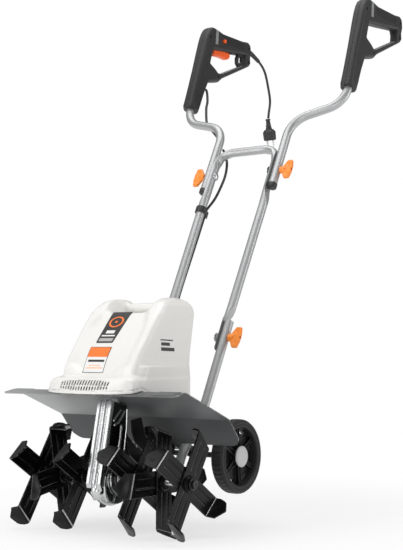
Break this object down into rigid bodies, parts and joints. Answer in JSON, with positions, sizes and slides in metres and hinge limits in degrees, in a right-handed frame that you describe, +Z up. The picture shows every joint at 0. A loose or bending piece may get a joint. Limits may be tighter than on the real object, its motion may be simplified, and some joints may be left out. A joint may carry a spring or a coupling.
{
  "type": "electric garden tiller",
  "caption": "Upright electric soil tiller: shielded tine stars under a motor hood and worm gear leg, swinging transport wheels, folding tube handles with closed D grips.",
  "frame": {"origin": "centre of the bounding box in X and Y, on the ground plane under the lowest tine tips", "axes": "+Z up; +X to the operator's right, along the tine shaft; +Y towards the operator, so the hood and tines are towards -Y"},
  "size_m": [0.498, 1.1046, 1.2419],
  "materials": {
    "hood_plastic": "moulded off-white plastic, satin gloss",
    "deck_steel": "dark grey coated sheet steel",
    "cast_alloy": "bright die-cast aluminium",
    "black_paint": "gloss black coating",
    "tube_silver": "silver paint on steel tube",
    "orange_plastic": "moulded orange plastic",
    "switch_orange": "moulded orange-red plastic",
    "grip_plastic": "charcoal plastic, fine texture",
    "wheel_plastic": "black moulded plastic",
    "hubcap_plastic": "light grey plastic",
    "bright_steel": "zinc plated steel",
    "laminated_steel": "laminated steel with winding ends",
    "copper_winding": "enamelled copper winding on a steel shaft",
    "wheel_bronze": "machined bronze",
    "cable_rubber": "black flexible sheath",
    "black_plastic": "black moulded plastic"
  },
  "bodies": {
    "chassis": {"hood_cover": "hood_plastic", "deck_shield": "deck_steel", "gearcase_right": "cast_alloy", "gearcase_left": "cast_alloy", "shaft_seal_right": "cable_rubber", "shaft_seal_left": "cable_rubber", "motor_base": "cast_alloy", "motor_stator": "laminated_steel", "motor_end_cap": "black_paint", "top_bearing": "bright_steel", "lower_bearing": "bright_steel", "rear_bracket": "black_paint", "wheel_pivot_pin": "bright_steel", "lower_tube_right": "tube_silver", "lower_tube_left": "tube_silver", "clamp_bolt_lower_right": "bright_steel", "clamp_bolt_lower_left": "bright_steel", "motor_lead_lower": "cable_rubber"},
    "motor_rotor": {"armature": "copper_winding", "cooling_fan": "black_plastic", "worm": "bright_steel"},
    "tine_rotor": {"tine_shaft": "bright_steel", "worm_wheel": "wheel_bronze", "tine_star_right_1": "black_paint", "tine_star_right_2": "black_paint", "tine_star_right_3": "black_paint", "tine_star_left_1": "black_paint", "tine_star_left_2": "black_paint", "tine_star_left_3": "black_paint", "shaft_bolt_right": "bright_steel", "shaft_bolt_left": "bright_steel"},
    "wheel_carrier": {"wheel_bracket": "black_paint", "wheel_axle": "bright_steel"},
    "wheel_right_body": {"wheel_right": "wheel_plastic", "hubcap_right": "hubcap_plastic"},
    "wheel_left_body": {"wheel_left": "wheel_plastic", "hubcap_left": "hubcap_plastic"},
    "u_frame": {"middle_frame": "tube_silver", "clamp_bolt_upper_right": "bright_steel", "clamp_bolt_upper_left": "bright_steel", "cable_clip": "black_plastic", "motor_lead_middle": "cable_rubber"},
    "handle_right": {"upper_tube_right": "tube_silver", "tube_cap_right": "grip_plastic", "grip_right_inner": "grip_plastic", "grip_right_outer": "grip_plastic"},
    "handle_left": {"upper_tube_left": "tube_silver", "tube_cap_left": "grip_plastic", "grip_left_inner": "grip_plastic", "grip_left_outer": "grip_plastic", "switch_module": "black_plastic", "motor_lead_upper": "cable_rubber", "supply_cord": "cable_rubber", "plug": "cable_rubber"},
    "trigger_body": {"trigger": "switch_orange"},
    "lock_button_body": {"lock_button": "switch_orange"},
    "knob_lower_right": {"wing_knob_lower_right": "orange_plastic"},
    "knob_lower_left": {"wing_knob_lower_left": "orange_plastic"},
    "knob_upper_right": {"wing_knob_upper_right": "orange_plastic"},
    "knob_upper_left": {"wing_knob_upper_left": "orange_plastic"}
  },
  "joints": [
    {"name": "tine_spin", "type": "hinge", "parent": "chassis", "child": "tine_rotor", "pos_m": [0, -0.43932, 0.11294], "axis": [1, 0, 0], "continuous": true},
    {"name": "motor_spin", "type": "hinge", "parent": "chassis", "child": "motor_rotor", "pos_m": [0, -0.47719, 0.12225], "axis": [0, 0.2385, 0.9711], "continuous": true},
    {"name": "wheel_swing", "type": "hinge", "parent": "chassis", "child": "wheel_carrier", "pos_m": [0, -0.27932, 0.18294], "axis": [1, 0, 0], "range_deg": [-34, 0]},
    {"name": "wheel_spin_right", "type": "hinge", "parent": "wheel_carrier", "child": "wheel_right_body", "pos_m": [0, -0.20932, 0.14894], "axis": [1, 0, 0], "continuous": true},
    {"name": "wheel_spin_left", "type": "hinge", "parent": "wheel_carrier", "child": "wheel_left_body", "pos_m": [0, -0.20932, 0.14894], "axis": [1, 0, 0], "continuous": true},
    {"name": "lower_fold", "type": "hinge", "parent": "chassis", "child": "u_frame", "pos_m": [0, -0.15643, 0.40294], "axis": [1, 0, 0], "range_deg": [-60, 0]},
    {"name": "handle_fold_right", "type": "hinge", "parent": "u_frame", "child": "handle_right", "pos_m": [0, 0.05456, 0.80194], "axis": [1, 0, 0], "range_deg": [0, 165]},
    {"name": "handle_fold_left", "type": "hinge", "parent": "u_frame", "child": "handle_left", "pos_m": [0, 0.05456, 0.80194], "axis": [1, 0, 0], "range_deg": [0, 165]},
    {"name": "knob_turn_lower_right", "type": "hinge", "parent": "chassis", "child": "knob_lower_right", "pos_m": [0, -0.15643, 0.40294], "axis": [1, 0, 0], "continuous": true},
    {"name": "knob_turn_upper_right", "type": "hinge", "parent": "handle_right", "child": "knob_upper_right", "pos_m": [0, 0.05456, 0.80194], "axis": [1, 0, 0], "continuous": true},
    {"name": "knob_turn_lower_left", "type": "hinge", "parent": "chassis", "child": "knob_lower_left", "pos_m": [0, -0.15643, 0.40294], "axis": [-1, 0, 0], "continuous": true},
    {"name": "knob_turn_upper_left", "type": "hinge", "parent": "handle_left", "child": "knob_upper_left", "pos_m": [0, 0.05456, 0.80194], "axis": [-1, 0, 0], "continuous": true},
    {"name": "trigger_pull", "type": "hinge", "parent": "handle_left", "child": "trigger_body", "pos_m": [-0.232, 0.33668, 1.18294], "axis": [1, 0, 0], "range_deg": [-7, 0]},
    {"name": "lock_button_press", "type": "slide", "parent": "handle_left", "child": "lock_button_body", "axis": [-1, 0, 0], "range_m": [0, 0.003]}
  ],
  "couplings": [
    {"joint": "motor_spin", "follows": "tine_spin", "ratio": -25}
  ]
}
